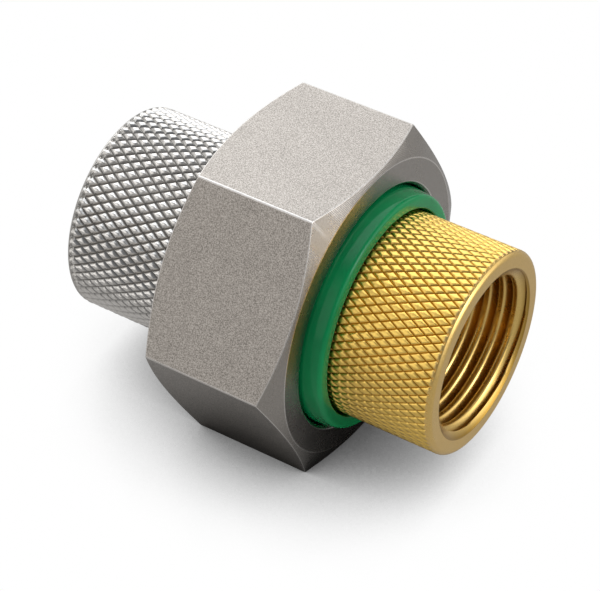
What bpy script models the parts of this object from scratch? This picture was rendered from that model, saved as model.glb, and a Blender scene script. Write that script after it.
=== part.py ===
"""A half-inch dielectric pipe union that seals on flat faces.

A knurled steel tailpiece and a knurled brass tailpiece meet on a flat gasket. A hexagonal
union nut screws over the steel tailpiece's collar and bears, through a plastic sleeve, on
the brass tailpiece's collar, so that turning it draws the two faces together.

Metres, +Z up. +X runs along the fitting from the steel end to the brass end. The nut rests
on one of its flats at z = 0, and x = 0 is the middle of the fitting's length.
"""

from math import cos, pi, radians, sin, sqrt, tan

import bmesh
import bpy

MM = 0.001

# Clearances in the solids
running_gap = 0.3 * MM  # radial, between pieces that turn in each other
seat_gap = 0.3 * MM  # axial, between faces that press on each other

# Pipe sockets, the same at both ends
pipe_crest_radius = 9.45 * MM  # crest of the female pipe thread at the mouth
pipe_taper = 1 / 32  # fall of the radius for each unit of depth
socket_depth = 14.0 * MM
socket_step = 1.0 * MM  # from the socket's bottom in to the waterway
socket_floor_rise = 0.6 * MM  # coned floor left by the drill
mouth_chamfer = 1.15 * MM  # radial width of the mouth's countersink
mouth_chamfer_depth = 0.35 * MM

# Brass tailpiece
brass_length = 24.15 * MM
brass_wall = 3.2 * MM  # from the thread crest out to the knurl's crests
brass_collar_thickness = 3.0 * MM
brass_collar_clearance = 1.05 * MM  # air that keeps the collar off the nut
brass_lip_length = 1.0 * MM
brass_lip_round = 0.95 * MM
brass_knurl_cover = 1.0 * MM  # how far the knurl runs on under the sleeve
brass_knurl_pitch = 1.08 * MM  # round the barrel, from groove to groove
brass_knurl_angle = radians(26.7)  # of the grooves, from the axis
brass_knurl_depth = 0.3 * MM

# Steel tailpiece
steel_length = 24.85 * MM
steel_wall = 3.38 * MM
steel_collar_length = 9.6 * MM
steel_collar_chamfer = 0.8 * MM
steel_neck_length = 1.0 * MM
steel_neck_step = 0.45 * MM  # neck below the knurl's crests
steel_lip_length = 0.95 * MM
steel_lip_round = 0.8 * MM
steel_knurl_pitch = 1.34 * MM
steel_knurl_angle = radians(30.0)
steel_knurl_depth = 0.4 * MM

# Gasket and its recess in the steel face
gasket_thickness = 1.5 * MM
gasket_bore_margin = 0.5 * MM  # gasket's hole beyond the waterway
recess_depth = 1.0 * MM
recess_rim = 1.55 * MM  # steel left round the recess

# Insulating sleeve
sleeve_wall = 1.9 * MM
sleeve_flange_thickness = 1.6 * MM
sleeve_flange_clearance = 0.7 * MM
sleeve_stand_out = 2.3 * MM  # in front of the nut
sleeve_front_round = 0.45 * MM
sleeve_draft = 0.2 * MM  # the tube's outside falls by this to its front
sleeve_edge_chamfer = 0.25 * MM

# Union nut
nut_length = 18.2 * MM
nut_flange_thickness = 3.5 * MM
nut_shoulder = 1.5 * MM  # from the flange's hole out to the thread
nut_wall = 2.35 * MM  # from the thread out to the flats
nut_face_land = 0.55 * MM  # the chamfer's circle lies this far inside the flats
nut_chamfer_angle = radians(24.5)  # from the end faces
nut_edge_round = 0.25 * MM
nut_mouth_chamfer = 0.7 * MM
nut_hole_chamfer = 0.35 * MM
nut_relief_width = 1.8 * MM
nut_relief_depth = 0.45 * MM

# Facets
round_sides = 40
nut_chamfer_sides = 72
fillet_steps = 3
edge_steps = 2

# Radii, from the waterway out to the nut
socket_end_radius = pipe_crest_radius - socket_depth * pipe_taper
waterway_radius = socket_end_radius - socket_step
brass_barrel_radius = pipe_crest_radius + brass_wall
steel_barrel_radius = pipe_crest_radius + steel_wall
sleeve_bore_radius = brass_barrel_radius + running_gap
sleeve_tube_radius = sleeve_bore_radius + sleeve_wall
nut_hole_radius = sleeve_tube_radius + running_gap
nut_bore_radius = nut_hole_radius + nut_shoulder
steel_collar_radius = nut_bore_radius - running_gap
brass_collar_radius = nut_bore_radius - brass_collar_clearance
sleeve_flange_radius = nut_bore_radius - sleeve_flange_clearance
recess_radius = steel_collar_radius - recess_rim
gasket_radius = recess_radius - running_gap
gasket_hole_radius = waterway_radius + gasket_bore_margin
nut_across_flats = 2 * (nut_bore_radius + nut_wall)
nut_corner_radius = nut_across_flats / sqrt(3)
nut_face_radius = nut_across_flats / 2 - nut_face_land

# Places along the axis, from the brass sealing face towards the brass end
sleeve_back = brass_collar_thickness + seat_gap
nut_flange_back = sleeve_back + sleeve_flange_thickness + seat_gap
nut_front = nut_flange_back + nut_flange_thickness
sleeve_front = nut_front + sleeve_stand_out
gasket_back = -seat_gap - gasket_thickness
recess_floor = gasket_back - seat_gap
steel_face = recess_floor + recess_depth
steel_end = steel_face - steel_length
fitting_middle = (brass_length + steel_end) / 2
axis_height = nut_across_flats / 2

FULL_TURN = 2 * pi
SAME_RADIUS = 1e-9


def clear_scene():
    for old in list(bpy.data.objects):
        bpy.data.objects.remove(old, do_unlink=True)


def material(name, colour, metallic, roughness):
    made = bpy.data.materials.new(name)
    made.use_nodes = True
    shader = made.node_tree.nodes["Principled BSDF"]
    shader.inputs["Base Color"].default_value = (*colour, 1.0)
    shader.inputs["Metallic"].default_value = metallic
    shader.inputs["Roughness"].default_value = roughness
    return made


def loop_at(mesh, x, radii):
    """One closed loop of vertices round the axis, one for each radius."""
    step = FULL_TURN / len(radii)
    return [mesh.verts.new((x, r * cos(k * step), r * sin(k * step))) for k, r in enumerate(radii)]


def turned_loops(mesh, outline, sides=round_sides):
    """The loops of a plain turned outline, given as (x, radius) points."""
    return [loop_at(mesh, x, [radius] * sides) for x, radius in outline]


def knurled_loops(mesh, start, end, crest_radius, depth, pitch, angle):
    """Loops of a diamond knurl: crests and groove crossings alternate along and around.

    The first and last loops lie at the grooves' depth, so the diamonds there are cut in half.
    """
    columns = 2 * round(FULL_TURN * crest_radius / pitch)
    rows = max(2, round(2 * abs(end - start) * tan(angle) / pitch))
    root_radius = crest_radius - depth
    loops = []
    for row in range(rows + 1):
        radii = []
        for column in range(columns):
            is_crest = (row + column) % 2 == 0 and 0 < row < rows
            radii.append(crest_radius if is_crest else root_radius)
        loops.append(loop_at(mesh, start + (end - start) * row / rows, radii))
    return loops


def distance_from_axis(vertex):
    return sqrt(vertex.co.y**2 + vertex.co.z**2)


def stitch_matched(mesh, near, far):
    """Faces between loops of equal count, split along the deeper diagonal at a knurl."""
    count = len(near)
    for k in range(count):
        following = (k + 1) % count
        corners = near[k], near[following], far[following], far[k]
        radii = [distance_from_axis(v) for v in corners]
        if abs(radii[0] - radii[1]) < SAME_RADIUS and abs(radii[2] - radii[3]) < SAME_RADIUS:
            mesh.faces.new(corners)
        elif radii[0] + radii[2] < radii[1] + radii[3]:
            mesh.faces.new((corners[0], corners[1], corners[2]))
            mesh.faces.new((corners[0], corners[2], corners[3]))
        else:
            mesh.faces.new((corners[0], corners[1], corners[3]))
            mesh.faces.new((corners[1], corners[2], corners[3]))


def stitch_mixed(mesh, near, far):
    """Triangles between loops of unlike counts, stepping on along whichever is behind."""
    i = 0
    j = 0
    while i < len(near) or j < len(far):
        here = near[i % len(near)]
        there = far[j % len(far)]
        if (i + 1) * len(far) <= (j + 1) * len(near):
            i += 1
            mesh.faces.new((here, near[i % len(near)], there))
        else:
            j += 1
            mesh.faces.new((here, far[j % len(far)], there))


def round_object(name, mesh, loops, finish, smooth_angle=radians(25)):
    """A ring-shaped body whose section runs through the loops and back to the first."""
    for near, far in zip(loops, loops[1:] + loops[:1]):
        if len(near) == len(far):
            stitch_matched(mesh, near, far)
        else:
            stitch_mixed(mesh, near, far)
    return finished_object(name, mesh, finish, smooth_angle)


def finished_object(name, mesh, finish, smooth_angle=radians(25)):
    bmesh.ops.recalc_face_normals(mesh, faces=mesh.faces)
    data = bpy.data.meshes.new(name)
    mesh.to_mesh(data)
    mesh.free()
    data.shade_smooth()
    data.set_sharp_from_angle(angle=smooth_angle)
    if finish:
        data.materials.append(finish)
    made = bpy.data.objects.new(name, data)
    bpy.context.scene.collection.objects.link(made)
    return made


def place(piece, parent, x):
    """Sets a piece on the fitting's axis, x metres along from its parent."""
    piece.parent = parent
    piece.location = (x, 0, 0)


def edge_arc(x, radius, size, start, end, steps=fillet_steps):
    """Points of a rounded edge about the centre (x, radius), by angle from +X outwards."""
    points = []
    for k in range(steps + 1):
        angle = start + (end - start) * k / steps
        points.append((x + size * cos(angle), radius + size * sin(angle)))
    return points


def socket_outline(end, inward):
    """The pipe socket's wall, from the end face's inner edge to the start of the waterway.

    inward is +1 where the socket runs towards +X from its end face, and -1 the other way.
    """
    floor = end + inward * socket_depth
    return [
        (end, pipe_crest_radius + mouth_chamfer),
        (end + inward * mouth_chamfer_depth, pipe_crest_radius),
        (floor, socket_end_radius),
        (floor + inward * socket_floor_rise, waterway_radius),
    ]


def steel_tailpiece(finish):
    """Origin on the axis at the flat face, with the barrel running towards -X."""
    mesh = bmesh.new()
    end = -steel_length
    collar_back = -steel_collar_length
    knurl_start = collar_back - steel_neck_length
    knurl_end = end + steel_lip_length
    neck_radius = steel_barrel_radius - steel_neck_step
    lip_radius = steel_barrel_radius - steel_knurl_depth / 4
    floor = -recess_depth

    collar = [
        (0.0, recess_radius),
        (0.0, steel_collar_radius - steel_collar_chamfer),
        (-steel_collar_chamfer, steel_collar_radius),
        (collar_back + steel_collar_chamfer, steel_collar_radius),
        (collar_back, steel_collar_radius - steel_collar_chamfer),
        (collar_back, neck_radius),
    ]
    lip = edge_arc(end + steel_lip_round, lip_radius - steel_lip_round, steel_lip_round, pi / 2, pi)
    waterway = [(floor, waterway_radius), (floor, recess_radius)]

    loops = turned_loops(mesh, collar)
    loops += knurled_loops(
        mesh, knurl_start, knurl_end, steel_barrel_radius, steel_knurl_depth, steel_knurl_pitch, steel_knurl_angle
    )
    loops += turned_loops(mesh, lip + socket_outline(end, 1) + waterway)
    return round_object("steel_tailpiece", mesh, loops, finish)


def brass_tailpiece(finish):
    """Origin on the axis at the sealing face, with the barrel running towards +X."""
    mesh = bmesh.new()
    edge = sleeve_edge_chamfer
    collar_back = brass_collar_thickness
    knurl_start = sleeve_front - brass_knurl_cover
    knurl_end = brass_length - brass_lip_length
    lip_radius = brass_barrel_radius - brass_knurl_depth / 4

    collar = [
        (0.0, waterway_radius),
        (0.0, brass_collar_radius - edge),
        (edge, brass_collar_radius),
        (collar_back - edge, brass_collar_radius),
        (collar_back, brass_collar_radius - edge),
        (collar_back, brass_barrel_radius),
        (knurl_start - brass_knurl_depth, brass_barrel_radius),
    ]
    lip = edge_arc(
        brass_length - brass_lip_round, lip_radius - brass_lip_round, brass_lip_round, pi / 2, 0
    )

    loops = turned_loops(mesh, collar)
    loops += knurled_loops(
        mesh, knurl_start, knurl_end, brass_barrel_radius, brass_knurl_depth, brass_knurl_pitch, brass_knurl_angle
    )
    loops += turned_loops(mesh, lip + socket_outline(brass_length, -1))
    return round_object("brass_tailpiece", mesh, loops, finish)


def insulating_sleeve(finish):
    """Origin on the axis at the back of the flange, with the tube running towards +X."""
    mesh = bmesh.new()
    edge = sleeve_edge_chamfer
    front = sleeve_front - sleeve_back
    front_radius = sleeve_tube_radius - sleeve_draft
    outline = [
        (edge, sleeve_bore_radius),
        (0.0, sleeve_bore_radius + edge),
        (0.0, sleeve_flange_radius),
        (sleeve_flange_thickness, sleeve_flange_radius),
        (sleeve_flange_thickness, sleeve_tube_radius),
        (front - sleeve_stand_out, sleeve_tube_radius),
    ]
    outline += edge_arc(
        front - sleeve_front_round, front_radius - sleeve_front_round, sleeve_front_round, pi / 2, 0
    )
    outline += [(front, sleeve_bore_radius + edge), (front - edge, sleeve_bore_radius)]
    return round_object("insulating_sleeve", mesh, turned_loops(mesh, outline), finish)


def face_gasket(finish):
    """Origin on the axis at the gasket's back."""
    mesh = bmesh.new()
    outline = [
        (0.0, gasket_hole_radius),
        (0.0, gasket_radius),
        (gasket_thickness, gasket_radius),
        (gasket_thickness, gasket_hole_radius),
    ]
    return round_object("face_gasket", mesh, turned_loops(mesh, outline), finish)


def hexagon_blank(finish):
    """The nut's bar stock: a hexagon along X with two flats level and its long edges eased."""
    mesh = bmesh.new()
    half = nut_length / 2
    ends = [loop_at(mesh, x, [nut_corner_radius] * 6) for x in (-half, half)]
    stitch_matched(mesh, *ends)
    for end in ends:
        mesh.faces.new(end)
    long_edges = [e for e in mesh.edges if abs(e.verts[0].co.x - e.verts[1].co.x) > half]
    bmesh.ops.bevel(mesh, geom=long_edges, offset=nut_edge_round, segments=edge_steps, profile=0.5)
    return finished_object("union_nut", mesh, finish)


def solid_of_revolution(name, outline, sides):
    """A guide or cutter turned about X, closed by a flat disc at each end."""
    mesh = bmesh.new()
    loops = turned_loops(mesh, outline, sides)
    for near, far in zip(loops, loops[1:]):
        stitch_matched(mesh, near, far)
    mesh.faces.new(loops[0])
    mesh.faces.new(loops[-1])
    made = finished_object(name, mesh, None)
    made.hide_render = True
    made.display_type = "WIRE"
    return made


def chamfer_envelope():
    """Two cones back to back, which turn off the corners at both ends of the hexagon."""
    half = nut_length / 2
    outer = nut_corner_radius + nut_wall
    fall = (outer - nut_face_radius) * tan(nut_chamfer_angle)
    outline = [
        (-half, nut_face_radius),
        (-half + fall, outer),
        (half - fall, outer),
        (half, nut_face_radius),
    ]
    return solid_of_revolution("nut_chamfer_envelope", outline, nut_chamfer_sides)


def bore_cutter():
    """The nut's inside: thread mouth, thread bore, relief groove, and the flange's hole."""
    half = nut_length / 2
    past = nut_mouth_chamfer
    shoulder = half - nut_flange_thickness
    relief = nut_bore_radius + nut_relief_depth
    groove_start = shoulder - nut_relief_width
    outline = [
        (-half - past, nut_bore_radius + nut_mouth_chamfer + past),
        (-half + nut_mouth_chamfer, nut_bore_radius),
        (groove_start, nut_bore_radius),
        (groove_start + nut_relief_depth, relief),
        (shoulder, relief),
        (shoulder, nut_hole_radius),
        (half - nut_hole_chamfer, nut_hole_radius),
        (half + past, nut_hole_radius + nut_hole_chamfer + past),
    ]
    return solid_of_revolution("nut_bore_cutter", outline, round_sides)


def union_nut(finish):
    """Origin on the axis at the middle of the nut's length."""
    nut = hexagon_blank(finish)
    for operation, tool in (("INTERSECT", chamfer_envelope()), ("DIFFERENCE", bore_cutter())):
        place(tool, nut, 0)
        cut = nut.modifiers.new(tool.name, "BOOLEAN")
        cut.operation = operation
        cut.object = tool
        cut.solver = "EXACT"
    return nut


def build():
    clear_scene()
    plated_steel = material("plated_steel", (0.56, 0.55, 0.52), 1.0, 0.3)
    satin_steel = material("satin_steel", (0.42, 0.39, 0.36), 1.0, 0.42)
    green_plastic = material("green_plastic", (0.01, 0.22, 0.07), 0.0, 0.22)
    yellow_brass = material("yellow_brass", (0.71, 0.49, 0.17), 1.0, 0.28)
    black_rubber = material("black_rubber", (0.02, 0.02, 0.02), 0.0, 0.7)

    axis = bpy.data.objects.new("fitting_axis", None)
    bpy.context.scene.collection.objects.link(axis)
    axis.location = (-fitting_middle, 0, axis_height)

    place(steel_tailpiece(plated_steel), axis, steel_face)
    place(face_gasket(black_rubber), axis, gasket_back)
    sleeve = insulating_sleeve(green_plastic)
    place(sleeve, axis, sleeve_back)
    place(brass_tailpiece(yellow_brass), sleeve, -sleeve_back)
    place(union_nut(satin_steel), sleeve, nut_front - nut_length / 2 - sleeve_back)


build()
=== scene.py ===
"""The looks of the face seal union: fine knurls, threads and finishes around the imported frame.

Metres, in the frame's own axes: +X runs from the steel end to the brass end, +Z is up.
"""

from math import cos, pi, radians, sin, sqrt, tan
from typing import NamedTuple

import bmesh
import bpy
import numpy as np
from mathutils import Matrix, Vector


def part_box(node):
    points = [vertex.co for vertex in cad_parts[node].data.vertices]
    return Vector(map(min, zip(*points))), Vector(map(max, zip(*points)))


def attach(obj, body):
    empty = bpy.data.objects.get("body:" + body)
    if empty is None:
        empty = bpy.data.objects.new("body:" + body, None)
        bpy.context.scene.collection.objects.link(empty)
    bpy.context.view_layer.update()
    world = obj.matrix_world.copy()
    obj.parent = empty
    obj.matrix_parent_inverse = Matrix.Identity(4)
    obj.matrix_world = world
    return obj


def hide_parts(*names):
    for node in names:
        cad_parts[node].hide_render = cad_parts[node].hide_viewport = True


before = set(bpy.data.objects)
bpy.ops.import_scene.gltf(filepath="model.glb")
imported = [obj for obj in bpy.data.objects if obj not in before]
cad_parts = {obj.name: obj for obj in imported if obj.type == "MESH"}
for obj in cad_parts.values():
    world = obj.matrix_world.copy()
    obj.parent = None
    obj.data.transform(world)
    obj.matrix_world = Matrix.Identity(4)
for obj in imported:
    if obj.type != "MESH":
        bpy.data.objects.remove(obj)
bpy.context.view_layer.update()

MM = 0.001
FULL_TURN = 2 * pi


class Knurl(NamedTuple):
    """A barrel's diamond knurl, and the rounded lip over which it runs out."""

    crest: float  # the barrel's radius, over the diamonds
    depth: float
    starts: int  # grooves each way round the barrel
    half_rows: int  # half diamonds along it, up to the lip
    diamond: tuple  # height at even steps from a diamond's middle to its grooves
    lip_length: float  # from the last of the half rows to the end face
    lip_round: float
    fade: float  # length over which the grooves grow shallow


class Thread(NamedTuple):
    """A right-hand thread."""

    crest: float  # radius at the crests
    depth: float  # of the groove: outwards, or inwards where it is negative, as on a male thread
    pitch: float
    groove: tuple  # depth over one pitch, as (place, share) points


# Places and sizes read from the frame
steel_low, steel_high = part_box("steel_tailpiece")
brass_low, brass_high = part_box("brass_tailpiece")
sleeve_low, sleeve_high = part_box("insulating_sleeve")
nut_low, nut_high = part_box("union_nut")
axis_height = (nut_low.z + nut_high.z) / 2
steel_end = steel_low.x
steel_face = steel_high.x
brass_face = brass_low.x
brass_end = brass_high.x
sleeve_back = sleeve_low.x
sleeve_front = sleeve_high.x
nut_back = nut_low.x
nut_front = nut_high.x
nut_across_flats = nut_high.z - nut_low.z
steel_collar_radius = (steel_high.y - steel_low.y) / 2
brass_collar_radius = (brass_high.y - brass_low.y) / 2
sleeve_flange_radius = (sleeve_high.y - sleeve_low.y) / 2

running_gap = 0.3 * MM
edge_ease = 0.08 * MM  # tiny rounding left on turned edges
ease_limit = 0.4  # share of a short side that the easing of one corner may take
turned_chamfer = 3 * edge_ease

# Pipe thread's groove over half a pitch, mirrored for the other half: a rounded crest, then
# flanks about 60 degrees apart
PIPE_FLANK = (
    (0.0, 0.0), (0.06, 0.0), (0.125, 0.03), (0.19, 0.11), (0.25, 0.25), (0.44, 0.84), (0.5, 1.0),
)
PIPE_GROOVE = PIPE_FLANK + tuple((1 - place, share) for place, share in reversed(PIPE_FLANK[:-1]))
PIPE_THREAD = Thread(crest=9.45 * MM, depth=0.95 * MM, pitch=1.814 * MM, groove=PIPE_GROOVE)

# The two pipe sockets
pipe_taper = 1 / 32
socket_depth = 14.0 * MM
socket_step = 1.0 * MM
socket_floor_rise = 0.6 * MM
mouth_chamfer = 1.08 * MM
mouth_lead = 0.75 * MM  # length over which the thread's crests rise
thread_run_out = 2.0 * MM
mouth_radius = PIPE_THREAD.crest + mouth_chamfer
waterway_radius = PIPE_THREAD.crest - socket_depth * pipe_taper - socket_step
bore_stub = 1.0 * MM  # the plain bore's first length inside a rim

# Union thread's groove over a pitch: a flat crest, flanks about 60 degrees apart and a narrow
# flat root
UNION_GROOVE = (
    (0.0, 0.0), (0.12, 0.0), (0.45, 0.95), (0.5, 1.0),
    (0.58, 1.0), (0.63, 0.95), (0.96, 0.0), (1.0, 0.0),
)
union_pitch = 1.5 * MM
union_thread_depth = 0.85 * MM
union_crest_rise = 0.45 * MM  # of the collar's crests over the solid's plain cylinder
union_root_gap = 0.1 * MM  # between one part's crests and the other's grooves
COLLAR_THREAD = Thread(
    crest=steel_collar_radius + union_crest_rise,
    depth=-union_thread_depth,
    pitch=union_pitch,
    groove=UNION_GROOVE,
)
NUT_THREAD = Thread(
    crest=COLLAR_THREAD.crest - union_thread_depth + union_root_gap,
    depth=union_thread_depth,
    pitch=union_pitch,
    groove=UNION_GROOVE,
)

# Brass tailpiece
BRASS_KNURL = Knurl(
    crest=12.65 * MM,
    depth=0.22 * MM,
    starts=74,
    half_rows=12,
    diamond=(1.0, 0.995, 0.96, 0.88, 0.6, 0.0),
    lip_length=0.7 * MM,
    lip_round=0.75 * MM,
    fade=0.4 * MM,
)
brass_collar_thickness = 3.0 * MM
brass_knurl_cover = 1.0 * MM  # the knurl's length inside the sleeve

# Steel tailpiece
STEEL_KNURL = Knurl(
    crest=12.83 * MM,
    depth=0.4 * MM,
    starts=60,
    half_rows=12,
    diamond=(1.0, 0.95, 0.78, 0.44, 0.0),
    lip_length=0.95 * MM,
    lip_round=0.8 * MM,
    fade=0.6 * MM,
)
steel_collar_length = 9.6 * MM
steel_collar_chamfer = 0.8 * MM
steel_neck_length = 1.0 * MM
steel_neck_step = 0.45 * MM
recess_depth = 1.0 * MM
recess_rim = 1.55 * MM

# Insulating sleeve
sleeve_flange_thickness = 1.6 * MM
sleeve_wall = 1.9 * MM
sleeve_front_round = 0.6 * MM
sleeve_draft = 0.2 * MM
sleeve_draft_start = edge_ease / 10  # fall of the tube's first bit outside the nut

# Union nut
nut_flange_thickness = 3.5 * MM
nut_face_land = 0.55 * MM
nut_chamfer_angle = radians(24.5)
nut_edge_round = 0.17 * MM
nut_mouth_chamfer = 0.7 * MM
nut_hole_chamfer = 0.35 * MM
nut_relief_width = 1.8 * MM
nut_relief_depth = 0.45 * MM
nut_bore_radius = steel_collar_radius + running_gap
nut_ease_angle = radians(22.5)  # edges that turn by more than this are eased
nut_turned_margin = 1.0 * MM  # how far outside the relief groove a face still counts as turned
nut_end_tilt = 0.3  # least share of its normal along the axis that makes a face an end face
cutter_overrun = 1.0 * MM
tap_overrun = 0.5 * MM

# Where a knurl ends, and how far down a groove the painted shade in its bottom reaches
lip_run_out = radians(50)  # how far round the lips the knurls run on
unshaded_share = 0.3  # share of a groove's depth, from its crest down, that gets no painted shade

# Mesh density
plain_columns = 240
waterway_columns = 96
thread_columns = 200
nut_thread_columns = 120
nut_chamfer_sides = 288
thread_steps = 16
lip_rows = 10
arc_steps = 8
lip_arc_steps = 6
rim_arc_steps = 4
bevel_segments = 3
merge_distance = 1e-7
sliver_length = 1e-8
turned_sharp_angle = radians(28)
nut_sharp_angle = radians(35)
level_preference = 1e3  # how much more a level diagonal counts than a low one

# Places in a tailpiece's list of finishes, and in the nut's, whose first is its flats'
KNURLED = 0
TURNED = 1
THREADED = 2
NUT_WORN = 1
NUT_TURNED = 2

# Colours of the painted shade in the grooves' bottoms, darker than the metal around them
BRASS_GROOVE_SHADE = (0.44, 0.26, 0.05)
PLATED_GROOVE_SHADE = (0.27, 0.26, 0.245)

# Noise that the finishes share. Its scales are per metre, and its ranges set the contrast.
polish_scale = 260.0
polish_range = (0.3, 0.7)
speck_range = (0.32, 0.68)
grain_finer = 1.3  # scale of the bump's grain over the specks'
ring_distortion = 1.5  # of the turning tool's marks
patch_scale = 180.0
patch_range = (0.35, 0.65)
moulded_grain_scale = 700.0
moulded_grain_height = 0.01 * MM
plastic_ior = 1.38
plastic_specular = 0.34

# Camera, as the photograph was taken
camera_azimuth = radians(31.6)
camera_elevation = radians(40.0)
camera_roll = radians(1.39)
camera_distance = 0.2955
camera_aim_right = -0.0005
camera_aim_up = -0.0020
camera_near = 0.01
camera_lens = 149.8  # in Blender's millimetres, as the sensor's width is
sensor_width = 36.0

# Floor, and the soft shadow on it: how far that reaches, and how shut in its core and rim are
floor_half_width = 1.5
FLOOR_COLOUR = (0.8, 0.8, 0.8, 1.0)
WHITE = (1.0, 1.0, 1.0, 1.0)
shadow_reach = 0.03
shadow_core = 0.1
shadow_rim = 0.75
shadow_tone = 0.04
floor_in_metal = 0.49  # the floor's glow as metal reflects it, against white to the camera

# Soft panels round the object: azimuth from +X towards +Y, elevation, half-width, strength, colour
NEUTRAL = (1.0, 1.0, 1.0)
COOL = (0.95, 1.0, 1.06)
SOFT_PANELS = (
    (144, 60, 30, 1.85, COOL),
    (330, 65, 34, 0.22, COOL),
    (2, 12, 30, 1.35, NEUTRAL),
    (6, 27, 10, 4.5, NEUTRAL),
    (45, 8, 30, 1.15, NEUTRAL),
    (135, 8, 30, 1.45, NEUTRAL),
    (180, 8, 30, 0.65, NEUTRAL),
    (235, 18, 30, 1.1, NEUTRAL),
    (288, 20, 18, 0.25, NEUTRAL),
)
panel_core = 0.4  # shares of a panel's half-width at which it starts to fade and is gone
panel_rim = 1.6


class RoundBody:
    """A ring-shaped body about the fitting's axis, gathered strip by strip along its section.

    A strip is a grid of rows of points round the axis. Each strip is joined to the one before
    it, and close() joins the last to the first.
    """

    def __init__(self):
        self.points = []
        self.faces = []
        self.finishes = []
        self.total = 0
        self.first_row = None
        self.last_row = None

    def add_faces(self, faces, finish):
        self.faces.extend(faces)
        self.finishes.extend([finish] * len(faces))

    def strip(self, x, radius, finish=0, rows_per_turn=0):
        """Adds a grid of rows. x and radius are arrays of one shape, (rows, columns)."""
        rows, columns = radius.shape
        angle = np.arange(columns) * FULL_TURN / columns
        grid = np.stack([x, radius * np.cos(angle), radius * np.sin(angle)], axis=2)
        index = np.arange(rows * columns).reshape(rows, columns) + self.total
        self.points.append(grid.reshape(-1, 3))
        self.total += rows * columns
        if self.last_row is None:
            self.first_row = index[0]
        else:
            self.add_faces(stitched(self.last_row, index[0]), finish)
        self.add_faces(grid_faces(index, radius, rows_per_turn), finish)
        self.last_row = index[-1]

    def plain(self, outline, finish=0, columns=plain_columns):
        """Adds a plain turned outline, given as (x, radius) points."""
        x = np.array([point[0] for point in outline])[:, None] * np.ones(columns)
        radius = np.array([point[1] for point in outline])[:, None] * np.ones(columns)
        self.strip(x, radius, finish)

    def take(self, other, finish, reverse):
        """Takes in a strip that was made by itself, from either end."""
        shift = self.total
        self.points.extend(other.points)
        self.total += other.total
        first = other.last_row if reverse else other.first_row
        last = other.first_row if reverse else other.last_row
        self.add_faces(stitched(self.last_row, first + shift), finish)
        self.add_faces([tuple(v + shift for v in face) for face in other.faces], finish)
        self.last_row = last + shift

    def close(self, name, finishes, capped=False):
        """Makes the object. capped closes the two ends with discs instead of joining them."""
        if capped:
            self.add_faces([tuple(self.first_row), tuple(self.last_row)], 0)
        else:
            self.add_faces(stitched(self.last_row, self.first_row), 0)
        data = bpy.data.meshes.new(name)
        data.from_pydata(np.concatenate(self.points).tolist(), [], self.faces)
        data.polygons.foreach_set("material_index", self.finishes)
        clean = bmesh.new()
        clean.from_mesh(data)
        bmesh.ops.remove_doubles(clean, verts=clean.verts, dist=merge_distance)
        bmesh.ops.dissolve_degenerate(clean, edges=clean.edges, dist=sliver_length)
        bmesh.ops.recalc_face_normals(clean, faces=clean.faces)
        clean.to_mesh(data)
        clean.free()
        data.shade_smooth()
        data.set_sharp_from_angle(angle=turned_sharp_angle)
        for finish in finishes:
            data.materials.append(finish)
        return placed(name, data)


def placed(name, data):
    """An object of a mesh whose origin is on the fitting's axis."""
    made = bpy.data.objects.new(name, data)
    made.location = (0, 0, axis_height)
    bpy.context.scene.collection.objects.link(made)
    return made


def grid_faces(index, radius, rows_per_turn):
    """Triangles between the rows of a strip, split so that edges follow equal heights.

    With rows_per_turn the rows run on as a helix: each one continues in the row that lies
    rows_per_turn further on.
    """
    rows = index.shape[0]
    onward = np.minimum(np.arange(rows) + rows_per_turn, rows - 1)
    following = np.roll(index, -1, axis=1)
    following_radius = np.roll(radius, -1, axis=1)
    following[:, -1] = index[onward, 0]
    following_radius[:, -1] = radius[onward, 0]
    # a, b, c and d are a cell's corners, in order round it
    a, b, c, d = index[:-1], following[:-1], following[1:], index[1:]
    ra, rb, rc, rd = radius[:-1], following_radius[:-1], following_radius[1:], radius[1:]
    first = np.abs(ra - rc) * level_preference + (ra + rc)
    second = np.abs(rb - rd) * level_preference + (rb + rd)
    use_first = (first <= second).ravel()
    a, b, c, d = (v.ravel() for v in (a, b, c, d))
    one = np.where(use_first[:, None], np.stack([a, b, c], 1), np.stack([a, b, d], 1))
    two = np.where(use_first[:, None], np.stack([a, c, d], 1), np.stack([b, c, d], 1))
    return [tuple(f) for f in np.concatenate([one, two]).tolist() if len(set(f)) == 3]


def stitched(near, far):
    """Faces between two rows of points, which may differ in number."""
    near = [int(v) for v in near]
    far = [int(v) for v in far]
    faces = []
    if len(near) == len(far):
        for k in range(len(near)):
            on = (k + 1) % len(near)
            faces.append((near[k], near[on], far[on], far[k]))
        return faces
    i = 0
    j = 0
    while i < len(near) or j < len(far):
        here = near[i % len(near)]
        there = far[j % len(far)]
        if (i + 1) * len(far) <= (j + 1) * len(near):
            i += 1
            faces.append((here, near[i % len(near)], there))
        else:
            j += 1
            faces.append((here, far[j % len(far)], there))
    return faces


def arc(x, radius, size, start, end, steps=arc_steps):
    """Points of a rounded edge about the centre (x, radius), by angle from +X outwards."""
    angles = [start + (end - start) * k / steps for k in range(steps + 1)]
    return [(x + size * cos(a), radius + size * sin(a)) for a in angles]


def eased(outline):
    """The outline with each of its inner corners cut back by the small rounding."""
    points = [outline[0]]
    for before, corner, after in zip(outline, outline[1:], outline[2:]):
        for other in (before, after):
            aside = other[0] - corner[0]
            outward = other[1] - corner[1]
            share = min(edge_ease / sqrt(aside**2 + outward**2), ease_limit)
            points.append((corner[0] + aside * share, corner[1] + outward * share))
    return points + [outline[-1]]


def smooth_step(low, high, value):
    t = np.clip((value - low) / (high - low), 0, 1)
    return t * t * (3 - 2 * t)


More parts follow.
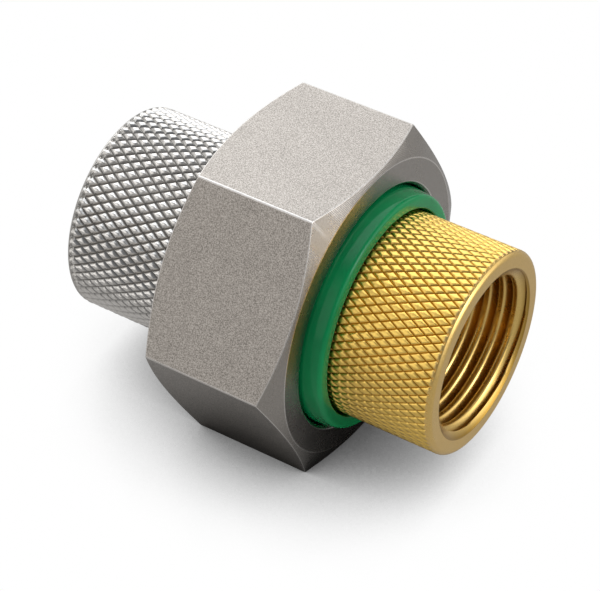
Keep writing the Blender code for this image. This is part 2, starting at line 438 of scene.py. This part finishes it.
def knurl_strip(body, knurl, start, end, lip_centre):
    """A knurl's diamonds from start to end, and on over the first part of the rounded lip.

    The lip's rounding, about lip_centre, cuts the diamonds off where it falls below them.
    """
    steps = len(knurl.diamond) - 1
    columns = 2 * knurl.starts * steps
    direction = 1 if end > start else -1
    lip_end = lip_centre + direction * knurl.lip_round * sin(lip_run_out)
    row_step = (end - start) / (knurl.half_rows * steps)
    band = np.arange(knurl.half_rows * steps + 1) * row_step
    lip = (end - start) + (lip_end - end) * np.arange(1, lip_rows + 1) / lip_rows
    along = np.concatenate([band, lip])
    half_diamond = (end - start) / knurl.half_rows
    around = (np.arange(columns) / steps)[None, :]
    onward = (along / half_diamond)[:, None]
    rising = (around + onward) / 2
    falling = (around - onward) / 2
    reach = 2 * np.maximum(np.abs(rising - np.round(rising)), np.abs(falling - np.round(falling)))
    height = np.interp(reach, np.linspace(0, 1, steps + 1), knurl.diamond)
    x = start + along[:, None] * np.ones(columns)
    groove = knurl.depth * (1 - height) * smooth_step(0, knurl.fade, (lip_end - x) * direction)
    past = np.clip((x - lip_centre) * direction, 0, knurl.lip_round)
    rounding = knurl.crest - knurl.lip_round + np.sqrt(np.maximum(knurl.lip_round**2 - past**2, 0))
    radius = np.minimum(knurl.crest - groove, rounding)
    body.strip(x[:-lip_rows], radius[:-lip_rows], KNURLED)
    body.strip(x[-lip_rows:], radius[-lip_rows:], TURNED)


def thread_strip(body, thread, start, end, radius_at, origin=None, columns=thread_columns):
    """A thread from start to end, as a helical grid.

    radius_at takes the groove's depth and the place along the axis, and returns the radius
    after chamfers and run-outs. origin is where the pitches are counted from.
    """
    pitch = thread.pitch
    origin = start if origin is None else origin
    first = start - pitch - (start - origin) % pitch
    rows = int(np.ceil((end - first) / pitch * thread_steps)) + 1
    row = np.arange(rows)[:, None]
    column = np.arange(columns)[None, :]
    x = np.clip(first + pitch * row / thread_steps + pitch * column / columns, start, end)
    place = (row % thread_steps) / thread_steps * np.ones(columns)
    groove_places = [point[0] for point in thread.groove]
    groove_shares = [point[1] for point in thread.groove]
    share = np.interp(place, groove_places, groove_shares)
    body.strip(x, radius_at(thread.depth * share, x), rows_per_turn=thread_steps)


def pipe_socket(body, end_face, inward, thread_finish):
    """The pipe socket from the end face to the waterway, thread and all."""
    floor = end_face + inward * socket_depth
    low, high = sorted((end_face, floor))

    def radius_at(groove, x):
        from_floor = np.abs(x - floor)
        from_mouth = np.abs(x - end_face)
        cut = groove * smooth_step(0, thread_run_out, from_floor)
        wall = PIPE_THREAD.crest - pipe_taper * from_mouth + cut
        return np.maximum(wall, mouth_radius - mouth_chamfer * from_mouth / mouth_lead)

    threaded = RoundBody()
    thread_strip(threaded, PIPE_THREAD, low, high, radius_at)
    body.take(threaded, thread_finish, reverse=inward < 0)
    waterway = [
        (floor + inward * socket_floor_rise, waterway_radius),
        (floor + inward * (socket_floor_rise + bore_stub), waterway_radius),
    ]
    body.plain(waterway, TURNED, waterway_columns)


def knurled_end(body, knurl, start, end_face, thread_finish):
    """A barrel's outer part: the knurl, the rounded lip, the end face and the pipe socket."""
    outward = 1 if end_face > start else -1
    lip_centre = end_face - outward * knurl.lip_round
    knurl_strip(body, knurl, start, end_face - outward * knurl.lip_length, lip_centre)
    knurl_stops = pi / 2 - outward * lip_run_out
    face_starts = 0 if outward > 0 else pi
    lip_radius = knurl.crest - knurl.lip_round
    lip = arc(lip_centre, lip_radius, knurl.lip_round, knurl_stops, face_starts, lip_arc_steps)
    body.plain(lip[1:] + [(end_face, mouth_radius + edge_ease)], TURNED)
    pipe_socket(body, end_face, -outward, thread_finish)


def brass_tailpiece(finishes):
    """The plain collar with the sealing face, the barrel and the knurled end."""
    body = RoundBody()
    collar_back = brass_face + brass_collar_thickness
    knurl_start = sleeve_front - brass_knurl_cover
    collar = eased([
        (brass_face + bore_stub, waterway_radius),
        (brass_face, waterway_radius + turned_chamfer),
        (brass_face, brass_collar_radius - turned_chamfer),
        (brass_face + turned_chamfer, brass_collar_radius),
        (collar_back - turned_chamfer, brass_collar_radius),
        (collar_back, brass_collar_radius - turned_chamfer),
        (collar_back, BRASS_KNURL.crest),
        (knurl_start - BRASS_KNURL.depth, BRASS_KNURL.crest),
    ])
    body.plain(collar, TURNED)
    knurled_end(body, BRASS_KNURL, knurl_start, brass_end, THREADED)
    return body.close("brass_tailpiece_fine", finishes)


def steel_tailpiece(finishes):
    """The gasket's recess, the threaded collar, the neck and the knurled end."""
    body = RoundBody()
    collar_back = steel_face - steel_collar_length
    knurl_start = collar_back - steel_neck_length
    neck_radius = STEEL_KNURL.crest - steel_neck_step
    recess_radius = steel_collar_radius - recess_rim
    recess_floor = steel_face - recess_depth
    recess = [
        (recess_floor, waterway_radius),
        (recess_floor, recess_radius),
        (steel_face, recess_radius),
    ]
    body.plain(recess, TURNED)

    def radius_at(groove, x):
        from_end = np.minimum(x - collar_back, steel_face - x)
        chamfer = steel_collar_radius - steel_collar_chamfer + from_end
        return np.minimum(COLLAR_THREAD.crest + groove, chamfer)

    threaded = RoundBody()
    thread_strip(threaded, COLLAR_THREAD, collar_back, steel_face, radius_at, origin=steel_face)
    body.take(threaded, TURNED, reverse=True)
    body.plain([(collar_back, neck_radius), (knurl_start, neck_radius)], TURNED)
    knurled_end(body, STEEL_KNURL, knurl_start, steel_end, TURNED)
    return body.close("steel_tailpiece_fine", finishes)


def insulating_sleeve(finishes):
    """The flange inside the nut and the slightly tapered tube outside it."""
    body = RoundBody()
    bore = BRASS_KNURL.crest + running_gap
    tube = bore + sleeve_wall
    front_radius = tube - sleeve_draft
    flange_front = sleeve_back + sleeve_flange_thickness
    outline = eased([
        (sleeve_back + bore_stub, bore),
        (sleeve_back, bore + turned_chamfer),
        (sleeve_back, sleeve_flange_radius),
        (flange_front, sleeve_flange_radius),
        (flange_front, tube),
        (nut_front, tube),
        (nut_front + edge_ease, tube - sleeve_draft_start),
    ])
    front_centre = (sleeve_front - sleeve_front_round, front_radius - sleeve_front_round)
    outline += arc(*front_centre, sleeve_front_round, pi / 2, 0)
    rim_centre = (sleeve_front - turned_chamfer, bore + turned_chamfer)
    outline += arc(*rim_centre, turned_chamfer, 0, -pi / 2, rim_arc_steps)
    body.plain(outline)
    return body.close("insulating_sleeve_fine", finishes)


def capped_body(name, outline, columns):
    """A solid turned body that cuts the nut's shape."""
    body = RoundBody()
    body.plain(outline, columns=columns)
    return body.close(name, [], capped=True)


def thread_tap(start, end):
    """The body that cuts the nut's thread, its crests in step with the collar's grooves."""

    def radius_at(groove, x):
        from_end = np.minimum(x - start, end - x)
        return np.minimum(NUT_THREAD.crest + groove, NUT_THREAD.crest - running_gap + from_end)

    body = RoundBody()
    in_step = steel_face + union_pitch / 2
    thread_strip(body, NUT_THREAD, start, end, radius_at, in_step, nut_thread_columns)
    return body.close("thread_tap", [], capped=True)


def apply_modifiers(piece):
    bpy.context.view_layer.update()
    evaluated = piece.evaluated_get(bpy.context.evaluated_depsgraph_get())
    data = bpy.data.meshes.new_from_object(evaluated)
    piece.modifiers.clear()
    piece.data = data


def apply_boolean(piece, tool, operation):
    cut = piece.modifiers.new(tool.name, "BOOLEAN")
    cut.operation = operation
    cut.object = tool
    cut.solver = "EXACT"
    apply_modifiers(piece)
    bpy.data.objects.remove(tool, do_unlink=True)


def hexagon():
    """The nut's bar stock, with two flats level and its six long edges rounded."""
    mesh = bmesh.new()
    corner = nut_across_flats / sqrt(3)
    ends = []
    for x in (nut_back, nut_front):
        turns = [k * pi / 3 for k in range(6)]
        ring = [mesh.verts.new((x, corner * cos(turn), corner * sin(turn))) for turn in turns]
        mesh.faces.new(ring)
        ends.append(ring)
    for k in range(6):
        on = (k + 1) % 6
        mesh.faces.new((ends[0][k], ends[0][on], ends[1][on], ends[1][k]))
    long_edges = [edge for edge in mesh.edges if edge.verts[0].co.x != edge.verts[1].co.x]
    bmesh.ops.bevel(
        mesh, geom=long_edges, offset=nut_edge_round, segments=bevel_segments, profile=0.5,
        affect="EDGES", material=NUT_WORN,
    )
    bmesh.ops.recalc_face_normals(mesh, faces=mesh.faces)
    data = bpy.data.meshes.new("union_nut_fine")
    mesh.to_mesh(data)
    mesh.free()
    return placed("union_nut_fine", data)


def union_nut(finishes):
    """The hexagon, chamfered and bored, with its edges eased, and then tapped."""
    nut = hexagon()
    face_radius = nut_across_flats / 2 - nut_face_land
    outer = nut_across_flats / sqrt(3) + cutter_overrun
    fall = (outer - face_radius) * tan(nut_chamfer_angle)
    envelope = [
        (nut_back, face_radius),
        (nut_back + fall, outer),
        (nut_front - fall, outer),
        (nut_front, face_radius),
    ]
    apply_boolean(nut, capped_body("nut_envelope", envelope, nut_chamfer_sides), "INTERSECT")

    hole = BRASS_KNURL.crest + sleeve_wall + 2 * running_gap
    bore = NUT_THREAD.crest
    shoulder = nut_front - nut_flange_thickness
    relief = nut_bore_radius + nut_relief_depth
    relief_start = shoulder - nut_relief_width
    relief_wall = relief_start + nut_relief_depth
    mouth = nut_bore_radius + nut_mouth_chamfer
    cutter = [
        (nut_back - cutter_overrun, mouth + cutter_overrun),
        (nut_back + mouth - bore, bore),
        (relief_start, bore),
        (relief_wall, relief),
        (shoulder, relief),
        (shoulder, hole),
        (nut_front - nut_hole_chamfer, hole),
        (nut_front + cutter_overrun, hole + nut_hole_chamfer + cutter_overrun),
    ]
    apply_boolean(nut, capped_body("nut_bore", cutter, plain_columns), "DIFFERENCE")

    ease = nut.modifiers.new("eased_edges", "BEVEL")
    ease.width = nut_edge_round / 2
    ease.segments = bevel_segments
    ease.limit_method = "ANGLE"
    ease.angle_limit = nut_ease_angle
    ease.use_clamp_overlap = False
    ease.material = NUT_WORN
    nut.data.shade_smooth()
    for finish in finishes:
        nut.data.materials.append(finish)
    for face in nut.data.polygons:
        inside = face.center.yz.length < relief + nut_turned_margin
        if inside or abs(face.normal.x) > nut_end_tilt:
            face.material_index = NUT_TURNED
    apply_modifiers(nut)
    tap = thread_tap(nut_back - cutter_overrun, relief_wall + tap_overrun)
    apply_boolean(nut, tap, "DIFFERENCE")
    nut.data.set_sharp_from_angle(angle=nut_sharp_angle)
    level = nut.modifiers.new("level_flats", "WEIGHTED_NORMAL")
    level.keep_sharp = True
    level.weight = 100  # the largest faces set the direction
    apply_modifiers(nut)
    return nut


def fresh_material(name):
    """A new Principled material, its node tree, its shader and its object coordinates."""
    material = bpy.data.materials.new(name)
    material.use_nodes = True
    tree = material.node_tree
    shader = tree.nodes["Principled BSDF"]
    coordinates = tree.nodes.new("ShaderNodeTexCoord")
    return material, tree, shader, coordinates.outputs["Object"]


def noise(tree, where, scale, detail=4.0, roughness=0.55):
    made = tree.nodes.new("ShaderNodeTexNoise")
    made.inputs["Scale"].default_value = scale
    made.inputs["Detail"].default_value = detail
    made.inputs["Roughness"].default_value = roughness
    tree.links.new(where, made.inputs["Vector"])
    return made.outputs["Fac"]


def remap(tree, value, source, target=(0.0, 1.0), kind="LINEAR"):
    """A value carried from one range, source, to another, and held at its ends."""
    made = tree.nodes.new("ShaderNodeMapRange")
    made.interpolation_type = kind
    made.inputs["From Min"].default_value = source[0]
    made.inputs["From Max"].default_value = source[1]
    made.inputs["To Min"].default_value = target[0]
    made.inputs["To Max"].default_value = target[1]
    tree.links.new(value, made.inputs["Value"])
    return made.outputs["Result"]


def combine(tree, operation, first, second):
    """Two values, taken together by one of the Math node's operations."""
    made = tree.nodes.new("ShaderNodeMath")
    made.operation = operation
    tree.links.new(first, made.inputs[0])
    tree.links.new(second, made.inputs[1])
    return made.outputs["Value"]


def blend_colours(tree, value, first, second):
    """A mix of two colours. The second may be another node's output."""
    made = tree.nodes.new("ShaderNodeMix")
    made.data_type = "RGBA"
    made.inputs["A"].default_value = (*first, 1.0)
    if isinstance(second, tuple):
        made.inputs["B"].default_value = (*second, 1.0)
    else:
        tree.links.new(second, made.inputs["B"])
    tree.links.new(value, made.inputs["Factor"])
    return made.outputs["Result"]


def radius_of(tree, where):
    """Distance from the fitting's axis, of object coordinates."""
    across = tree.nodes.new("ShaderNodeVectorMath")
    across.operation = "MULTIPLY"
    across.inputs[1].default_value = (0.0, 1.0, 1.0)
    tree.links.new(where, across.inputs[0])
    length = tree.nodes.new("ShaderNodeVectorMath")
    length.operation = "LENGTH"
    tree.links.new(across.outputs["Vector"], length.inputs[0])
    return length.outputs["Value"]


def bump(tree, shader, height, distance):
    made = tree.nodes.new("ShaderNodeBump")
    made.inputs["Strength"].default_value = 1.0
    made.inputs["Distance"].default_value = distance
    tree.links.new(height, made.inputs["Height"])
    tree.links.new(made.outputs["Normal"], shader.inputs["Normal"])


def turned_rings(tree, where, scale):
    """Rings about the X axis, as a turning tool leaves on an end face."""
    made = tree.nodes.new("ShaderNodeTexWave")
    made.wave_type = "RINGS"
    made.rings_direction = "X"
    made.inputs["Scale"].default_value = scale
    made.inputs["Distortion"].default_value = ring_distortion
    made.inputs["Detail"].default_value = 2.0
    tree.links.new(where, made.inputs["Vector"])
    return made.outputs["Fac"]


def metal(name, light, dark, roughness, grain_scale, grain_height, rings=None, grooves=None):
    """A metal finish: fine specks of two tones, uneven polish and a grain of the same size.

    roughness is a range, and rings is the scale of a turning tool's marks. grooves gives the crest
    radius of a knurl or a thread, its depth towards the axis, and the colour of the painted shade
    that darkens its grooves towards their bottoms.
    """
    material, tree, shader, where = fresh_material(name)
    shader.inputs["Metallic"].default_value = 1.0
    specks = noise(tree, where, grain_scale, 2.0)
    colour = blend_colours(tree, remap(tree, specks, speck_range), dark, light)
    if grooves:
        crest, depth, groove_shade = grooves
        # painted shade: the colour darkens towards the shade colour nearer each groove's bottom
        height = remap(tree, radius_of(tree, where), (crest - depth, crest - unshaded_share * depth))
        colour = blend_colours(tree, height, groove_shade, colour)
    tree.links.new(colour, shader.inputs["Base Color"])
    polish = remap(tree, noise(tree, where, polish_scale), polish_range, roughness)
    tree.links.new(polish, shader.inputs["Roughness"])
    grain = noise(tree, where, grain_scale * grain_finer, 2.0, 0.6)
    if rings:
        grain = combine(tree, "ADD", grain, turned_rings(tree, where, rings))
    bump(tree, shader, grain, grain_height)
    return material


def moulded(name, colour, shade, roughness):
    """A moulded finish for the plastic and the rubber: soft patches of two tones, fine grain."""
    material, tree, shader, where = fresh_material(name)
    shader.inputs["Roughness"].default_value = roughness
    shader.inputs["IOR"].default_value = plastic_ior
    shader.inputs["Specular IOR Level"].default_value = plastic_specular
    patches = remap(tree, noise(tree, where, patch_scale, 3.0), patch_range)
    tree.links.new(blend_colours(tree, patches, shade, colour), shader.inputs["Base Color"])
    bump(tree, shader, noise(tree, where, moulded_grain_scale, 2.0), moulded_grain_height)
    return material


def brass_finishes():
    """The brass knurl, turned faces and pipe thread, as KNURLED, TURNED and THREADED say."""
    return [
        metal(
            "brass_knurl",
            light=(0.96, 0.65, 0.165),
            dark=(0.88, 0.575, 0.135),
            roughness=(0.26, 0.34),
            grain_scale=5200.0,
            grain_height=0.01 * MM,
            # painted shade darkens the knurl's grooves towards their bottoms
            grooves=(BRASS_KNURL.crest, BRASS_KNURL.depth, BRASS_GROOVE_SHADE),
        ),
        metal(
            "brass_turned",
            light=(0.86, 0.585, 0.2),
            dark=(0.78, 0.52, 0.17),
            roughness=(0.26, 0.34),
            grain_scale=5200.0,
            grain_height=0.006 * MM,
            rings=2600.0,
        ),
        metal(
            "brass_thread",
            light=(0.84, 0.58, 0.19),
            dark=(0.76, 0.51, 0.16),
            roughness=(0.24, 0.32),
            grain_scale=5200.0,
            grain_height=0.006 * MM,
            # painted shade darkens the thread's grooves towards their roots
            grooves=(PIPE_THREAD.crest, -PIPE_THREAD.depth, BRASS_GROOVE_SHADE),
        ),
    ]


def steel_finishes():
    """The plated steel's knurl and its turned faces and threads, as KNURLED and TURNED say."""
    return [
        metal(
            "plated_knurl",
            light=(0.78, 0.75, 0.715),
            dark=(0.68, 0.65, 0.615),
            roughness=(0.15, 0.22),
            grain_scale=5200.0,
            grain_height=0.006 * MM,
            # painted shade darkens the knurl's grooves towards their bottoms
            grooves=(STEEL_KNURL.crest, STEEL_KNURL.depth, PLATED_GROOVE_SHADE),
        ),
        metal(
            "plated_turned",
            light=(0.6, 0.575, 0.54),
            dark=(0.52, 0.5, 0.47),
            roughness=(0.22, 0.3),
            grain_scale=5200.0,
            grain_height=0.006 * MM,
            rings=2600.0,
        ),
    ]


def nut_finishes():
    """The nut's satin flats, then its worn edges and turned faces, as the names above say."""
    return [
        metal(
            "nut_satin",
            light=(0.49, 0.447, 0.404),
            dark=(0.185, 0.167, 0.147),
            roughness=(0.34, 0.4),
            grain_scale=7200.0,
            grain_height=0.015 * MM,
        ),
        metal(
            "nut_worn_edge",
            light=(0.68, 0.645, 0.61),
            dark=(0.56, 0.525, 0.49),
            roughness=(0.24, 0.32),
            grain_scale=5000.0,
            grain_height=0.01 * MM,
        ),
        metal(
            "nut_turned",
            light=(0.4, 0.37, 0.34),
            dark=(0.32, 0.295, 0.265),
            roughness=(0.22, 0.3),
            grain_scale=6000.0,
            grain_height=0.01 * MM,
            rings=1800.0,
        ),
    ]


def green_plastic():
    return moulded(
        "green_plastic", colour=(0.003, 0.22, 0.068), shade=(0.002, 0.185, 0.058), roughness=0.06
    )


def black_rubber():
    return moulded(
        "black_rubber", colour=(0.02, 0.02, 0.02), shade=(0.014, 0.014, 0.015), roughness=0.65
    )


def build_pieces():
    steel = steel_tailpiece(steel_finishes())
    nut = union_nut(nut_finishes())
    sleeve = insulating_sleeve([green_plastic()])
    brass = brass_tailpiece(brass_finishes())
    for piece, node, body, slot in (
        (steel, "steel_tailpiece", "steel_end", "plated_steel"),
        (nut, "union_nut", "nut", "satin_steel"),
        (sleeve, "insulating_sleeve", "sleeve", "green_plastic"),
        (brass, "brass_tailpiece", "brass_end", "yellow_brass"),
    ):
        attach(piece, body)
        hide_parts(node)
    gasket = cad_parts["face_gasket"]
    gasket.data.materials.clear()
    gasket.data.materials.append(black_rubber())


def floor_material():
    """White floor. Matt to diffuse light, and a glow that fades near the object to the rest.

    The camera and the metal see the glow: it is white in the open, and dark where the object
    shuts the floor in, as a soft contact shadow is.
    """
    material = bpy.data.materials.new("white_floor")
    material.use_nodes = True
    tree = material.node_tree
    tree.nodes.clear()
    output = tree.nodes.new("ShaderNodeOutputMaterial")
    matt = tree.nodes.new("ShaderNodeBsdfDiffuse")
    matt.inputs["Color"].default_value = FLOOR_COLOUR
    glow = tree.nodes.new("ShaderNodeEmission")
    glow.inputs["Color"].default_value = WHITE
    shut_in = tree.nodes.new("ShaderNodeAmbientOcclusion")
    shut_in.inputs["Distance"].default_value = shadow_reach
    openness = remap(
        tree, shut_in.outputs["AO"], (shadow_core, shadow_rim), (shadow_tone, 1.0), "SMOOTHSTEP"
    )
    path = tree.nodes.new("ShaderNodeLightPath")
    in_metal = tree.nodes.new("ShaderNodeMix")
    in_metal.inputs["A"].default_value = 1.0
    tree.links.new(path.outputs["Is Glossy Ray"], in_metal.inputs["Factor"])
    dimmed = remap(tree, openness, (0.0, 1.0), (0.0, floor_in_metal))
    tree.links.new(dimmed, in_metal.inputs["B"])
    glowing = combine(tree, "MULTIPLY", openness, in_metal.outputs["Result"])
    tree.links.new(glowing, glow.inputs["Strength"])
    seen = path.outputs["Is Camera Ray"]
    for ray in ("Is Glossy Ray", "Is Transmission Ray"):
        seen = combine(tree, "MAXIMUM", seen, path.outputs[ray])
    chosen = tree.nodes.new("ShaderNodeMixShader")
    tree.links.new(seen, chosen.inputs["Fac"])
    tree.links.new(matt.outputs["BSDF"], chosen.inputs[1])
    tree.links.new(glow.outputs["Emission"], chosen.inputs[2])
    tree.links.new(chosen.outputs["Shader"], output.inputs["Surface"])
    return material


def build_floor():
    mesh = bmesh.new()
    bmesh.ops.create_grid(mesh, x_segments=1, y_segments=1, size=floor_half_width)
    data = bpy.data.meshes.new("floor")
    mesh.to_mesh(data)
    mesh.free()
    data.materials.append(floor_material())
    floor = bpy.data.objects.new("floor", data)
    bpy.context.scene.collection.objects.link(floor)


def soft_panel(tree, where, azimuth, elevation, half_width, strength, colour):
    """The colour of a round patch of light in the world, which fades out about its half-width."""
    level = cos(radians(elevation))
    facing = tree.nodes.new("ShaderNodeVectorMath")
    facing.operation = "DOT_PRODUCT"
    facing.inputs[1].default_value = (
        level * cos(radians(azimuth)), level * sin(radians(azimuth)), sin(radians(elevation))
    )
    tree.links.new(where, facing.inputs[0])
    fade = (cos(radians(panel_rim * half_width)), cos(radians(panel_core * half_width)))
    shown = remap(tree, facing.outputs["Value"], fade, (0.0, strength), "SMOOTHSTEP")
    tinted = tree.nodes.new("ShaderNodeVectorMath")
    tinted.operation = "SCALE"
    tinted.inputs[0].default_value = colour
    tree.links.new(shown, tinted.inputs["Scale"])
    return tinted.outputs["Vector"]


def build_lights():
    """The world: the soft panels for the object, and plain white for the camera."""
    world = bpy.data.worlds.new("studio")
    bpy.context.scene.world = world
    world.use_nodes = True
    tree = world.node_tree
    where = tree.nodes.new("ShaderNodeTexCoord").outputs["Generated"]
    total = None
    for panel in SOFT_PANELS:
        light = soft_panel(tree, where, *panel)
        if total:
            joined = tree.nodes.new("ShaderNodeVectorMath")
            joined.operation = "ADD"
            tree.links.new(total, joined.inputs[0])
            tree.links.new(light, joined.inputs[1])
            light = joined.outputs["Vector"]
        total = light
    path = tree.nodes.new("ShaderNodeLightPath")
    shown = tree.nodes.new("ShaderNodeMix")
    shown.data_type = "RGBA"
    shown.inputs["B"].default_value = WHITE
    tree.links.new(path.outputs["Is Camera Ray"], shown.inputs["Factor"])
    tree.links.new(total, shown.inputs["A"])
    tree.links.new(shown.outputs["Result"], tree.nodes["Background"].inputs["Color"])


def build_camera():
    forward = Vector((
        -sin(camera_azimuth) * cos(camera_elevation),
        cos(camera_azimuth) * cos(camera_elevation),
        -sin(camera_elevation),
    ))
    level_right = forward.cross(Vector((0, 0, 1))).normalized()
    level_up = level_right.cross(forward)
    right = level_right * cos(camera_roll) + level_up * sin(camera_roll)
    up = level_up * cos(camera_roll) - level_right * sin(camera_roll)
    nut_middle = Vector(((nut_back + nut_front) / 2, 0, axis_height))
    target = nut_middle + right * camera_aim_right + up * camera_aim_up
    data = bpy.data.cameras.new("camera")
    data.lens = camera_lens
    data.sensor_width = sensor_width
    data.clip_start = camera_near
    camera = bpy.data.objects.new("camera", data)
    turn = Matrix((right, up, -forward)).transposed()
    camera.matrix_world = Matrix.Translation(target - forward * camera_distance) @ turn.to_4x4()
    bpy.context.scene.collection.objects.link(camera)
    bpy.context.scene.camera = camera


build_pieces()
build_floor()
build_lights()
build_camera()
bpy.context.scene.view_settings.view_transform = "Standard"
